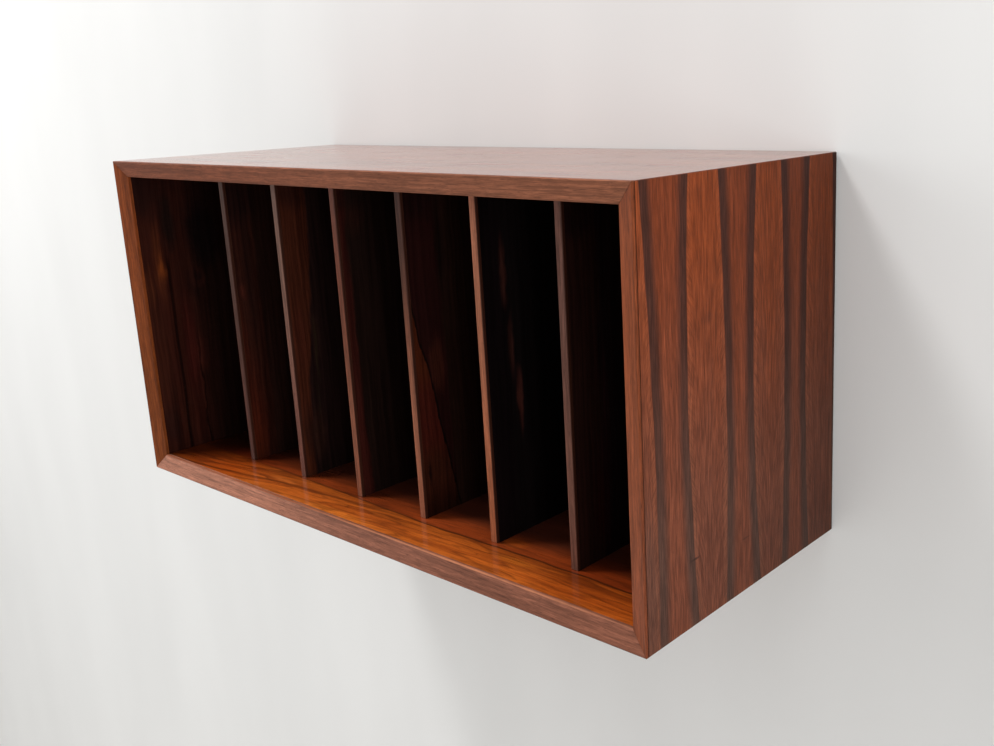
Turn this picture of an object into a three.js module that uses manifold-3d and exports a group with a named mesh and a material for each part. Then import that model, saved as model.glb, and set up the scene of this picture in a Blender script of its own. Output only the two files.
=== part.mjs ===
// A wall-hung cabinet for record sleeves. Four veneered boards are mitred at the corners over loose
// tongues and faced with bevelled solid strips, six dividers stand in stopped grooves, and a screwed
// back panel carries a hanging rail with two keyhole plates. Millimetres, +Z up, the open front
// towards -Y, the wall towards +Y, the origin in the middle of the underside.
import * as THREE from "three";
import { mergeVertices } from "three/addons/utils/BufferGeometryUtils.js";
import Module from "manifold-3d";

// Carcass
const cabinetWidth = 800;
const cabinetHeight = 390;
const cabinetDepth = 315;
const boardThickness = 19;
const cornerEase = 0.8; // leg of the small chamfer along the outer mitred corners
const clearance = 0.3; // gap between any two pieces that touch or are glued

// Solid strips on the front edges of the boards
const stripThickness = 3;
const bevelDepth = 7; // how much further back the inner edge lies than the outer edge
const stripArris = 1; // radius of its two front arrises

// Loose tongues in the mitres
const tongueThickness = 3;
const tongueWidth = 14; // half of it in each board
const tongueInset = 10; // from the inner corner, along the mitre
const tongueFrontStop = 22; // from the front edge of the board
const tongueBackStop = 12; // from the shoulder of the back rebate

// Dividers
const dividerCount = 6;
const dividerThickness = 9;
const dividerBay = 98.5; // clear width between two dividers
const dividerSetback = 60; // from the front of the cabinet
const dividerStripThickness = 3;
const dividerStripArris = 1;
const grooveDepth = 6;

// Back panel and the two rails behind it
const panelThickness = 5;
const railThickness = 12;
const hangingRailHeight = 70;
const spacerRailHeight = 40;
const rebateWidth = 12; // taken from the inner side of each board
const rebateArris = 1.5; // corner radius of the panel and of the rails' ends

// Wood screws, countersunk and slotted: head radius, shank radius, length
const railScrew = { head: 3.5, shank: 1.75, length: 35 };
const panelScrew = { head: 3, shank: 1.5, length: 18 };
const plateScrew = { head: 3, shank: 1.5, length: 10 };
const screwTip = 3;
const slotWidth = 0.9;
const slotDepth = 0.8;
const headRim = 0.4; // straight edge of a head above its cone
const screwSides = 16;
const railScrewInset = 45; // from the end of the rail
const railScrewInner = 120; // from the middle of the cabinet
const panelScrewSpacing = 130; // between the two screws at each side

// Keyhole plates let into the hanging rail
const plateLength = 60;
const plateHeight = 30;
const plateThickness = 2;
const plateCorner = 4;
const plateInset = 110; // from the side of the cabinet to the keyhole
const plateScrewSpacing = 44;
const keyholeRadius = 6;
const keyholeSlot = 6; // width of the narrow part
const keyholeRise = 11; // from the middle of the round part to the top of the slot
const keyholeDrop = 4; // the round part's middle below the middle of the plate
const pocketDepth = 6; // behind the plate, for the head of the wall screw
const pocketMargin = 1.5; // the pocket is this much wider than the keyhole

const wasm = await Module();
wasm.setup();

// Places that several pieces share
const frontY = -cabinetDepth / 2;
const backY = cabinetDepth / 2;
const rebateDepth = clearance + panelThickness + clearance + railThickness;
const shoulderY = backY - rebateDepth;
const boardFrontY = frontY + stripThickness + clearance;
const bevelAngle = Math.atan(bevelDepth / boardThickness);
const mitreGap = clearance / Math.SQRT2;
const dividerPitch = dividerBay + dividerThickness;
const rebateWall = boardThickness - rebateWidth;
const screwLine = rebateWall + rebateWidth / 2; // from the outer face to the screws in the shoulder
const panelEdge = rebateWall + clearance; // from the outer face to the edge of the panel and rails
const railEndX = cabinetWidth / 2 - panelEdge;

// The four boards: turn about Y, and where the middle of the outer face is
const frameSides = {
  top: { turn: 0, at: [0, 0, cabinetHeight], length: cabinetWidth },
  right: { turn: Math.PI / 2, at: [cabinetWidth / 2, 0, cabinetHeight / 2], length: cabinetHeight },
  bottom: { turn: Math.PI, at: [0, 0, 0], length: cabinetWidth },
  left: { turn: -Math.PI / 2, at: [-cabinetWidth / 2, 0, cabinetHeight / 2], length: cabinetHeight },
};

const finishes = {
  sideVeneer: { color: 0x7b4028, roughness: 0.38 },
  topVeneer: { color: 0x84472d, roughness: 0.3 },
  floorVeneer: { color: 0x9c5222, roughness: 0.3 },
  dividerVeneer: { color: 0x5a2d1d, roughness: 0.42 },
  solidStrip: { color: 0x8c5a45, roughness: 0.4 },
  backVeneer: { color: 0x4a2618, roughness: 0.5 },
  railWood: { color: 0xc49a6c, roughness: 0.7 },
  tongueWood: { color: 0xb98f60, roughness: 0.75 },
  zincSteel: { color: 0xb9bbb8, roughness: 0.4, metalness: 1 },
  screwSteel: { color: 0xa8a18d, roughness: 0.42, metalness: 1 },
};

function solidOf(geometry) {
  const bare = new THREE.BufferGeometry();
  bare.setAttribute("position", geometry.getAttribute("position"));
  bare.setIndex(geometry.index);
  const merged = mergeVertices(bare, 1e-4);
  return new wasm.Manifold(
    new wasm.Mesh({
      numProp: 3,
      vertProperties: merged.getAttribute("position").array,
      triVerts: new Uint32Array(merged.index.array),
    }),
  );
}

function geometryOf(solid) {
  const mesh = solid.getMesh();
  const geometry = new THREE.BufferGeometry();
  geometry.setAttribute("position", new THREE.BufferAttribute(mesh.vertProperties, 3));
  geometry.setIndex(new THREE.BufferAttribute(mesh.triVerts, 1));
  const flat = geometry.toNonIndexed();
  flat.computeVertexNormals();
  return flat;
}

// The geometry with every cutter taken out of it.
function cut(geometry, cutters) {
  return geometryOf(cutters.reduce((solid, cutter) => solid.subtract(solidOf(cutter)), solidOf(geometry)));
}

function piece(name, geometry, finish) {
  const mesh = new THREE.Mesh(geometry, new THREE.MeshStandardMaterial(finishes[finish]));
  mesh.name = name;
  return mesh;
}

// A bar along X with its outer face at z = 0 and both ends mitred inwards at 45 degrees.
// The section is drawn across the bar: first the place along Y, then the depth below the outer face.
function mitredBar(section, length) {
  const geometry = new THREE.ExtrudeGeometry(section, { depth: 1, bevelEnabled: false, curveSegments: 4 });
  const place = geometry.getAttribute("position");
  for (let i = 0; i < place.count; i++) {
    const below = place.getY(i);
    const end = place.getZ(i) > 0.5 ? -1 : 1;
    place.setXYZ(i, end * (length / 2 - below - mitreGap), place.getX(i), -below);
  }
  return geometry;
}

function boardSection() {
  const section = new THREE.Shape();
  section.moveTo(boardFrontY, 0);
  section.lineTo(backY, 0);
  section.lineTo(backY, rebateWall);
  section.lineTo(shoulderY, rebateWall);
  section.lineTo(shoulderY, boardThickness);
  section.lineTo(boardFrontY + bevelDepth, boardThickness);
  section.closePath();
  return section;
}

// The strip leans back across the board's edge. Its front arrises are round, and the outer one
// touches the front plane of the cabinet.
function stripSection() {
  const outerY = frontY + stripArris;
  const innerY = outerY + (boardThickness - 2 * stripArris) * Math.tan(bevelAngle);
  const bevelNormal = Math.PI - bevelAngle;
  const section = new THREE.Shape();
  section.moveTo(frontY + stripThickness, 0);
  section.absarc(outerY, stripArris, stripArris, 1.5 * Math.PI, bevelNormal, true);
  section.absarc(innerY, boardThickness - stripArris, stripArris, bevelNormal, 0.5 * Math.PI, true);
  section.lineTo(frontY + stripThickness + bevelDepth, boardThickness);
  section.closePath();
  return section;
}

// A small square bar on each outer corner line, which leaves a chamfer along the mitre.
function cornerCutters(length) {
  const side = cornerEase * Math.SQRT2;
  return [-1, 1].map((end) => {
    const bar = new THREE.BoxGeometry(side, cabinetDepth + 2 * boardThickness, side);
    return bar.rotateY(Math.PI / 4).translate((end * length) / 2, 0, 0);
  });
}

const tongueFrontY = boardFrontY + tongueFrontStop;
const tongueBackY = shoulderY - tongueBackStop;
const tongueInwards = boardThickness - tongueInset / Math.SQRT2; // its middle, in from both outer faces

function tongueBox(spare) {
  const length = tongueBackY - tongueFrontY + 2 * spare;
  const box = new THREE.BoxGeometry(tongueWidth + 2 * spare, length, tongueThickness + 2 * spare);
  return box;
}

function tongueCutters(length) {
  const middleY = (tongueFrontY + tongueBackY) / 2;
  return [-1, 1].map((end) =>
    tongueBox(clearance)
      .rotateY((end * Math.PI) / 4)
      .translate(end * (length / 2 - tongueInwards), middleY, -tongueInwards),
  );
}

// Where each divider's middle is along X, from left to right.
const dividerPlaces = Array.from(
  { length: dividerCount },
  (_, i) => (i - (dividerCount - 1) / 2) * dividerPitch,
);
const dividerCoreY = frontY + dividerSetback + dividerStripThickness + clearance;

// Grooves from just behind the dividers' front strips to the back rebate.
function grooveCutters() {
  const start = dividerCoreY - clearance;
  const run = shoulderY + clearance - start;
  const depth = grooveDepth + clearance;
  return dividerPlaces.map((x) => {
    const groove = new THREE.BoxGeometry(dividerThickness + 2 * clearance, run, depth);
    return groove.translate(x, start + run / 2, depth / 2 - clearance - boardThickness);
  });
}

// A countersunk wood screw driven from the back towards -Y, with the top of its head at y = 0.
// The spare is what a hole for it is wider all round.
function screwBody(screw, spare) {
  const head = screw.head + spare;
  const shank = screw.shank + spare;
  const coneEnd = headRim + screw.head - screw.shank;
  const length = screw.length + spare;
  const profile = [
    [0, -length],
    [shank, screwTip - length],
    [shank, -coneEnd],
    [head, -headRim],
    [head, spare],
    [0, spare],
  ];
  return new THREE.LatheGeometry(
    profile.map(([radius, y]) => new THREE.Vector2(radius, y)),
    screwSides,
  );
}

function slottedScrew(screw) {
  const slot = new THREE.BoxGeometry(3 * screw.head, 2 * slotDepth, slotWidth);
  return cut(screwBody(screw, 0), [slot]);
}

const railHeadY = backY - clearance;
const panelBackY = shoulderY + clearance + panelThickness;

// Screws along a rail, which go through it and the panel into the shoulder of the board.
const railScrewPlaces = [-1, 1].flatMap((side) => [
  side * (railEndX - railScrewInset),
  side * railScrewInner,
]);
const panelScrewPlaces = [-1, 1].map((side) => (side * panelScrewSpacing) / 2);

function railScrewHoles(z) {
  return railScrewPlaces.map((x) => screwBody(railScrew, clearance).translate(x, railHeadY, z));
}

function board(name, side, finish, fittings) {
  const cutters = [...cornerCutters(side.length), ...tongueCutters(side.length), ...fittings];
  return piece(name, cut(mitredBar(boardSection(), side.length), cutters), finish);
}

function frontStrip(name, side) {
  return piece(name, cut(mitredBar(stripSection(), side.length), cornerCutters(side.length)), "solidStrip");
}

// Each side of the carcass is built lying on its back, as the top is, and then turned into place.
function carcassSide(sideName, boardName, finish, fittings) {
  const side = frameSides[sideName];
  const group = new THREE.Group();
  group.add(board(boardName, side, finish, fittings));
  group.add(frontStrip(sideName + "_front_strip", side));
  group.position.set(...side.at);
  group.rotation.y = side.turn;
  return group;
}

function uprightScrewHoles() {
  return panelScrewPlaces.map((x) => screwBody(panelScrew, clearance).translate(x, panelBackY, -screwLine));
}

function cornerTongue(across, up) {
  const name = "corner_tongue_" + (up > 0 ? "top_" : "bottom_") + (across > 0 ? "right" : "left");
  const tongue = piece(name, tongueBox(0), "tongueWood");
  const height = up > 0 ? cabinetHeight - tongueInwards : tongueInwards;
  tongue.position.set(
    across * (cabinetWidth / 2 - tongueInwards),
    (tongueFrontY + tongueBackY) / 2,
    height,
  );
  tongue.rotation.y = (across * up * Math.PI) / 4;
  return tongue;
}

// A veneered panel in its grooves, and the solid strip on its front edge between the boards.
function divider(number, x) {
  const group = new THREE.Group();
  const run = shoulderY - dividerCoreY;
  const height = cabinetHeight - 2 * (boardThickness - grooveDepth);
  const core = new THREE.BoxGeometry(dividerThickness, run, height);
  core.translate(0, dividerCoreY + run / 2, 0);
  group.add(piece("divider_" + number, core, "dividerVeneer"));
  group.add(piece("divider_strip_" + number, dividerStrip(), "solidStrip"));
  group.position.set(x, 0, cabinetHeight / 2);
  return group;
}

function dividerStrip() {
  const half = dividerThickness / 2;
  const back = frontY + dividerSetback + dividerStripThickness;
  const front = frontY + dividerSetback + dividerStripArris;
  const height = cabinetHeight - 2 * (boardThickness + clearance);
  const outline = new THREE.Shape();
  outline.moveTo(half, back);
  outline.lineTo(-half, back);
  outline.absarc(dividerStripArris - half, front, dividerStripArris, Math.PI, 1.5 * Math.PI, false);
  outline.absarc(half - dividerStripArris, front, dividerStripArris, 1.5 * Math.PI, 2 * Math.PI, false);
  outline.closePath();
  const strip = new THREE.ExtrudeGeometry(outline, { depth: height, bevelEnabled: false, curveSegments: 4 });
  return strip.translate(0, 0, -height / 2);
}

function roundedRectangle(width, height, radius) {
  const x = width / 2;
  const z = height / 2;
  const outline = new THREE.Shape();
  outline.absarc(x - radius, z - radius, radius, 0, 0.5 * Math.PI, false);
  outline.absarc(radius - x, z - radius, radius, 0.5 * Math.PI, Math.PI, false);
  outline.absarc(radius - x, radius - z, radius, Math.PI, 1.5 * Math.PI, false);
  outline.absarc(x - radius, radius - z, radius, 1.5 * Math.PI, 2 * Math.PI, false);
  outline.closePath();
  return outline;
}

// An outline drawn in X and Z, as thick as stated from fromY towards the wall.
function slab(outline, fromY, thickness) {
  const plate = new THREE.ExtrudeGeometry(outline, { depth: thickness, bevelEnabled: false, curveSegments: 4 });
  return plate.rotateX(Math.PI / 2).translate(0, fromY + thickness, 0);
}

const panelHeight = cabinetHeight - 2 * panelEdge;
const hangingRailZ = cabinetHeight - panelEdge - hangingRailHeight / 2;
const spacerRailZ = panelEdge + spacerRailHeight / 2;
const railFrontY = backY - railThickness;
const topScrewZ = cabinetHeight - screwLine;

function sideScrewHoles() {
  const x = cabinetWidth / 2 - screwLine;
  return [-x, x].flatMap((across) =>
    panelScrewPlaces.map((up) =>
      screwBody(panelScrew, clearance).translate(across, panelBackY, cabinetHeight / 2 + up),
    ),
  );
}

function backPanel() {
  const outline = roundedRectangle(2 * railEndX, panelHeight, rebateArris);
  const panel = slab(outline, shoulderY + clearance, panelThickness).translate(0, 0, cabinetHeight / 2);
  const holes = [...railScrewHoles(topScrewZ), ...railScrewHoles(screwLine), ...sideScrewHoles()];
  return piece("back_panel", cut(panel, holes), "backVeneer");
}

function rail(height, z) {
  return slab(roundedRectangle(2 * railEndX, height, rebateArris), railFrontY, railThickness).translate(0, 0, z);
}

// The keyhole's outline about the middle of its plate, wider all round by the margin.
function keyholeOutline(margin, path) {
  const radius = keyholeRadius + margin;
  const slot = keyholeSlot / 2 + margin;
  const neck = Math.acos(slot / radius);
  const top = keyholeRise - keyholeDrop - keyholeSlot / 2;
  path.absarc(0, -keyholeDrop, radius, Math.PI - neck, 2 * Math.PI + neck, false);
  path.absarc(0, top, slot, 0, Math.PI, false);
  path.closePath();
  return path;
}

const plateY = backY - plateThickness;

function hangerPlate(name, x) {
  const outline = roundedRectangle(plateLength, plateHeight, plateCorner);
  outline.holes.push(keyholeOutline(0, new THREE.Path()));
  const holes = plateScrewPlaces(0).map((across) =>
    screwBody(plateScrew, clearance).translate(across, backY - clearance, 0),
  );
  const plate = piece(name, cut(slab(outline, plateY, plateThickness), holes), "zincSteel");
  plate.position.set(x, 0, hangingRailZ);
  return plate;
}

function plateScrewPlaces(x) {
  return [-1, 1].map((side) => x + (side * plateScrewSpacing) / 2);
}

const platePlaces = [-1, 1].map((side) => side * (cabinetWidth / 2 - plateInset));

// The seat, the pocket behind the keyhole and the screw holes of each plate.
function hangerCutters() {
  return platePlaces.flatMap((x) => {
    const seat = roundedRectangle(plateLength + 2 * clearance, plateHeight + 2 * clearance, plateCorner);
    const pocket = keyholeOutline(pocketMargin, new THREE.Shape());
    const seatDepth = plateThickness + clearance;
    return [
      slab(seat, backY - seatDepth, seatDepth + clearance).translate(x, 0, hangingRailZ),
      slab(pocket, plateY - pocketDepth, pocketDepth).translate(x, 0, hangingRailZ),
      ...plateScrewPlaces(x).map((across) =>
        screwBody(plateScrew, clearance).translate(across, backY - clearance, hangingRailZ),
      ),
    ];
  });
}

function hangingRail() {
  const cutters = [...railScrewHoles(topScrewZ), ...hangerCutters()];
  return piece("hanging_rail", cut(rail(hangingRailHeight, hangingRailZ), cutters), "railWood");
}

function spacerRail() {
  return piece("spacer_rail", cut(rail(spacerRailHeight, spacerRailZ), railScrewHoles(screwLine)), "railWood");
}

function screw(name, size, x, y, z) {
  const mesh = piece(name, slottedScrew(size), "screwSteel");
  mesh.position.set(x, y, z);
  return mesh;
}

function railScrews(railName, z) {
  return railScrewPlaces.map((x, i) => screw(railName + "_screw_" + (i + 1), railScrew, x, railHeadY, z));
}

function panelScrews() {
  const x = cabinetWidth / 2 - screwLine;
  return [-1, 1].flatMap((side) =>
    panelScrewPlaces.map((up, i) => {
      const name = "panel_screw_" + (side > 0 ? "right_" : "left_") + (i + 1);
      return screw(name, panelScrew, side * x, panelBackY, cabinetHeight / 2 + up);
    }),
  );
}

function plateScrews() {
  return platePlaces.flatMap(plateScrewPlaces).map((x, i) =>
    screw("hanger_screw_" + (i + 1), plateScrew, x, backY - clearance, hangingRailZ),
  );
}

const cabinet = new THREE.Group();
const levelScrewHoles = railScrewHoles(-screwLine);
cabinet.add(carcassSide("top", "top_board", "topVeneer", [...grooveCutters(), ...levelScrewHoles]));
cabinet.add(carcassSide("bottom", "bottom_board", "floorVeneer", [...grooveCutters(), ...levelScrewHoles]));
cabinet.add(carcassSide("left", "left_side", "sideVeneer", uprightScrewHoles()));
cabinet.add(carcassSide("right", "right_side", "sideVeneer", uprightScrewHoles()));
cabinet.add(cornerTongue(-1, 1), cornerTongue(1, 1), cornerTongue(-1, -1), cornerTongue(1, -1));
dividerPlaces.forEach((x, i) => cabinet.add(divider(i + 1, x)));
cabinet.add(backPanel(), hangingRail(), spacerRail());
cabinet.add(hangerPlate("hanger_plate_left", platePlaces[0]), hangerPlate("hanger_plate_right", platePlaces[1]));
cabinet.add(...railScrews("hanging_rail", topScrewZ), ...railScrews("spacer_rail", screwLine));
cabinet.add(...panelScrews(), ...plateScrews());

export default cabinet;
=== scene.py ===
import bpy
import math
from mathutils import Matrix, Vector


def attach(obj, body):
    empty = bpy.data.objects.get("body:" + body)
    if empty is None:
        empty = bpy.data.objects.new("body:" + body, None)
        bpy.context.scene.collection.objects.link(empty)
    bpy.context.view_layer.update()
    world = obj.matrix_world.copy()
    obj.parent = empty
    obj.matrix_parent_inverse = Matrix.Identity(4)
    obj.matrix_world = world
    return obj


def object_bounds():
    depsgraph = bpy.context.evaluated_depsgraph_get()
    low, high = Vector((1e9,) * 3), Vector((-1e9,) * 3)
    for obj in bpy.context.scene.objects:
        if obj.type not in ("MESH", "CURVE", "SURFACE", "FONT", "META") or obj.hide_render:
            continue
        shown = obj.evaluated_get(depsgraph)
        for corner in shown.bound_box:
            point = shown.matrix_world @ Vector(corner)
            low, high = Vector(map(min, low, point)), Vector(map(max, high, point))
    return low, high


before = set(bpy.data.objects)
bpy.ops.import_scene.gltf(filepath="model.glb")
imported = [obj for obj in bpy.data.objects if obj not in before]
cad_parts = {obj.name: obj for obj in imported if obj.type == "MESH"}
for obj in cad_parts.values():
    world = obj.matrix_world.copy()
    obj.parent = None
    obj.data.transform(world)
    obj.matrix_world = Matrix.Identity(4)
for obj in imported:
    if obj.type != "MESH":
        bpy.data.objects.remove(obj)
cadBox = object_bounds()
print("frame loaded:", len(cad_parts), "nodes")

# Sizes that the grain follows, in millimetres.
cabinet = {
    "halfDepth": 157.5, "height": 390, "board": 19, "innerWidth": 762, "innerHeight": 352,
    "dividerFront": 97.5, "dividerPitch": 107.5, "dividerThickness": 9,
}


# Small helpers that keep the node code short.

def addNode(tree, kind, **settings):
    made = tree.nodes.new(kind)
    for name, value in settings.items():
        setattr(made, name, value)
    return made


def feed(tree, socket, value):
    # a socket is linked, anything else is written as the socket's own value
    if isinstance(value, bpy.types.NodeSocket):
        tree.links.new(value, socket)
    else:
        socket.default_value = value


def calc(tree, operation, *values):
    made = addNode(tree, "ShaderNodeMath", operation=operation)
    for socket, value in zip(made.inputs, values):
        feed(tree, socket, value)
    return made.outputs[0]


def plus(tree, first, second):
    return calc(tree, "ADD", first, second)


def minus(tree, first, second):
    return calc(tree, "SUBTRACT", first, second)


def times(tree, first, second):
    return calc(tree, "MULTIPLY", first, second)


def scaled(tree, point, factors):
    made = addNode(tree, "ShaderNodeVectorMath", operation="MULTIPLY")
    feed(tree, made.inputs[0], point)
    feed(tree, made.inputs[1], factors)
    return made.outputs[0]


def moved(tree, point, offset):
    made = addNode(tree, "ShaderNodeVectorMath", operation="ADD")
    feed(tree, made.inputs[0], point)
    feed(tree, made.inputs[1], offset)
    return made.outputs[0]


def parts(tree, point):
    made = addNode(tree, "ShaderNodeSeparateXYZ")
    feed(tree, made.inputs[0], point)
    return made.outputs[0], made.outputs[1], made.outputs[2]


def pointOf(tree, x, y, z):
    made = addNode(tree, "ShaderNodeCombineXYZ")
    for socket, value in zip(made.inputs, (x, y, z)):
        feed(tree, socket, value)
    return made.outputs[0]


def ease(tree, value, low, high, outLow=0, outHigh=1):
    made = addNode(tree, "ShaderNodeMapRange", interpolation_type="SMOOTHSTEP")
    for socket, number in zip(made.inputs, (value, low, high, outLow, outHigh)):
        feed(tree, socket, number)
    return made.outputs[0]


def noise(tree, point, detail=2, roughness=0.5):
    made = addNode(tree, "ShaderNodeTexNoise")
    feed(tree, made.inputs["Vector"], point)
    feed(tree, made.inputs["Scale"], 1)
    feed(tree, made.inputs["Detail"], detail)
    feed(tree, made.inputs["Roughness"], roughness)
    return made.outputs["Fac"]


def mixed(tree, share, first, second, mode="MIX"):
    made = addNode(tree, "ShaderNodeMix", data_type="RGBA", blend_type=mode)
    feed(tree, made.inputs[0], share)
    feed(tree, made.inputs[6], first)
    feed(tree, made.inputs[7], second)
    return made.outputs[2]


def shaded(tree, colour, factor):
    return mixed(tree, 1, colour, pointOf(tree, factor, factor, factor), "MULTIPLY")


# Multiplies a colour by a factor, which goes from first to second as the value goes from low to high.
# The tones and fades in the dictionaries below are these four numbers.
def toned(tree, colour, value, low, high, first, second):
    return shaded(tree, colour, ease(tree, value, low, high, first, second))


# A curve drawn through points of (share, value in millimetres up to 100).
def drawn(tree, share, points):
    made = addNode(tree, "ShaderNodeFloatCurve")
    curve = made.mapping.curves[0]
    while len(curve.points) < len(points):
        curve.points.new(0.5, 0.5)
    for handle, (place, height) in zip(curve.points, points):
        handle.location = (place, height / 100)
    made.mapping.update()
    feed(tree, made.inputs["Value"], share)
    return times(tree, made.outputs[0], 100)


# An input is a number, or None for a vector. Every output is a number.
def newGroup(name, inputs, outputs):
    group = bpy.data.node_groups.new(name, "ShaderNodeTree")
    for label, value in inputs.items():
        kind = "NodeSocketVector" if value is None else "NodeSocketFloat"
        socket = group.interface.new_socket(label, in_out="INPUT", socket_type=kind)
        if value is not None:
            socket.default_value = value
    for label in outputs:
        group.interface.new_socket(label, in_out="OUTPUT", socket_type="NodeSocketFloat")
    return group, addNode(group, "NodeGroupInput").outputs, addNode(group, "NodeGroupOutput").inputs


def useGroup(tree, group, **values):
    made = addNode(tree, "ShaderNodeGroup", node_tree=group)
    for name, value in values.items():
        feed(tree, made.inputs[name], value)
    return made.outputs


# Groups shared by the wood materials.

# How fine each part of the grain is across and along it, and its noise's detail and roughness.
grainParts = {
    "Fibre": (1.5, 0.035, 3, 0.65), "Dash": (0.55, 0.045, 2, 0.6),
    "Streak": (0.24, 0.0055, 3, 0.55), "Tone": (0.028, 0.0035, 2, 0.5),
}


# The point is in millimetres, across the grain along x and y and with the grain along z.
def buildGrain():
    group, given, result = newGroup(
        "woodGrain",
        {"Point": None, "Seed": 0},
        ("Fibre", "Dash", "Streak", "Tone", "Pore"),
    )
    shift = pointOf(group, given["Seed"], times(group, given["Seed"], 0.37), given["Seed"])
    place = moved(group, given["Point"], shift)
    wander = noise(group, scaled(group, place, (0.012, 0.012, 0.012)), 2)
    sway = times(group, minus(group, wander, 0.5), 9)
    bent = moved(group, place, pointOf(group, sway, 0, 0))
    for part, (across, along, detail, roughness) in grainParts.items():
        stretched = scaled(group, bent, (across, across, along))
        feed(group, result[part], noise(group, stretched, detail, roughness))
    dashes = noise(group, scaled(group, bent, (2.3, 2.3, 0.14)), 1, 0.4)
    feed(group, result["Pore"], ease(group, dashes, 0.62, 0.72))
    return group


# Dark lines that flow with the grain, as contours of a slow noise.
def buildFigure():
    group, given, result = newGroup(
        "figureLines",
        {"Point": None, "Width": 40, "Length": 400, "Rings": 6, "Thickness": 0.12, "Seed": 0},
        ("Line", "Band"),
    )
    x, y, z = parts(group, given["Point"])
    place = pointOf(
        group,
        plus(group, calc(group, "DIVIDE", x, given["Width"]), given["Seed"]),
        calc(group, "DIVIDE", y, given["Width"]),
        calc(group, "DIVIDE", z, given["Length"]),
    )
    field = noise(group, place, 2.5, 0.45)
    steps = times(group, field, given["Rings"])
    share = calc(group, "FRACT", steps)
    # the distance to the nearest whole ring, 0 on the line and 0.5 half way
    gap = minus(group, 0.5, calc(group, "ABSOLUTE", minus(group, share, 0.5)))
    broken = noise(group, scaled(group, place, (3, 3, 4)), 1)
    reach = times(group, given["Thickness"], ease(group, broken, 0.35, 0.6, 0.25, 1.4))
    feed(group, result["Line"], minus(group, 1, ease(group, gap, 0, reach)))
    feed(group, result["Band"], share)
    return group


# A heart stripe between two bowed edges: sharp outside, dark at both edges and open in the middle.
bandEdges = ("LeftTop", "LeftMiddle", "LeftBottom", "RightTop", "RightMiddle", "RightBottom")


def buildHeartBand():
    edges = {edge: 0 for edge in bandEdges}
    group, given, result = newGroup(
        "heartBand",
        {"Across": 0, "Along": 0, **edges, "DarkWidth": 12},
        ("Inside", "Dark", "Rim"),
    )

    def bow(side):
        top, middle, bottom = (given[side + where] for where in ("Top", "Middle", "Bottom"))
        fourMiddle = times(group, middle, 4)
        first = minus(group, minus(group, fourMiddle, top), times(group, bottom, 3))
        ends = times(group, plus(group, top, bottom), 2)
        second = minus(group, ends, fourMiddle)
        slope = calc(group, "MULTIPLY_ADD", second, given["Along"], first)
        return calc(group, "MULTIPLY_ADD", slope, given["Along"], bottom)

    fromLeft = minus(group, given["Across"], bow("Left"))
    fromRight = minus(group, bow("Right"), given["Across"])
    inside = times(group, ease(group, fromLeft, -0.7, 0.9), ease(group, fromRight, -0.7, 0.9))
    nearEdge = times(group, given["DarkWidth"], 0.36)
    darkLeft = ease(group, fromLeft, nearEdge, given["DarkWidth"], 1, 0)
    darkRight = ease(group, fromRight, nearEdge, given["DarkWidth"], 1, 0)
    feed(group, result["Inside"], inside)
    feed(group, result["Dark"], times(group, calc(group, "MAXIMUM", darkLeft, darkRight), inside))
    outside = calc(group, "MINIMUM", calc(group, "ABSOLUTE", fromLeft), calc(group, "ABSOLUTE", fromRight))
    rim = ease(group, outside, 1.5, 8, 1, 0)
    feed(group, result["Rim"], times(group, rim, minus(group, 1, inside)))
    return group


# Fine strokes that slant down towards the middle of each leaf, and run upright in the middle.
def buildHatching():
    group, given, result = newGroup(
        "featherHatch",
        {"Across": 0, "Along": 0, "Middle": 0, "Leaf": 100},
        ("Hatch",),
    )
    fromMiddle = minus(group, given["Across"], given["Middle"])
    turns = calc(group, "ROUND", calc(group, "DIVIDE", fromMiddle, given["Leaf"]))
    local = minus(group, fromMiddle, times(group, turns, given["Leaf"]))
    reach = calc(group, "ABSOLUTE", local)
    side = times(group, calc(group, "SIGN", local), 50)
    leafSeed = times(group, turns, 3.7)

    def strokes(slant, fine, length, seed):
        sine, cosine = math.sin(math.radians(slant)), math.cos(math.radians(slant))
        beside = calc(group, "MULTIPLY_ADD", reach, cosine, times(group, given["Along"], -sine))
        forward = calc(group, "MULTIPLY_ADD", reach, sine, times(group, given["Along"], cosine))
        place = pointOf(group, times(group, beside, fine), times(group, forward, length),
                        plus(group, plus(group, side, leafSeed), seed))
        return noise(group, place, 2, 0.55)

    upright = strokes(3, 0.55, 0.02, 0)
    leaning = strokes(16, 0.5, 0.03, 9)
    slanted = strokes(34, 0.95, 0.07, 17)
    low = ease(group, given["Along"], 90, 170, 1, 0)
    lean = times(group, ease(group, reach, 2, 9), ease(group, low, 0, 1, 0.35, 1))
    inner = mixed(group, lean, upright, leaning)
    edge = mixed(group, ease(group, reach, 13, 23), inner, slanted)
    feed(group, result["Hatch"], edge)
    return group


# A soft oval patch: 1 in its middle and 0 outside.
def buildPatch():
    group, given, result = newGroup(
        "softPatch",
        {"Across": 0, "Along": 0, "AcrossMiddle": 0, "AlongMiddle": 0,
         "AcrossHalf": 10, "AlongHalf": 10, "Core": 0.3},
        ("Mask",),
    )
    across = minus(group, given["Across"], given["AcrossMiddle"])
    across = calc(group, "DIVIDE", across, given["AcrossHalf"])
    along = minus(group, given["Along"], given["AlongMiddle"])
    along = calc(group, "DIVIDE", along, given["AlongHalf"])
    squares = calc(group, "MULTIPLY_ADD", across, across, times(group, along, along))
    feed(group, result["Mask"], ease(group, calc(group, "SQRT", squares), given["Core"], 1, 1, 0))
    return group


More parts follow.
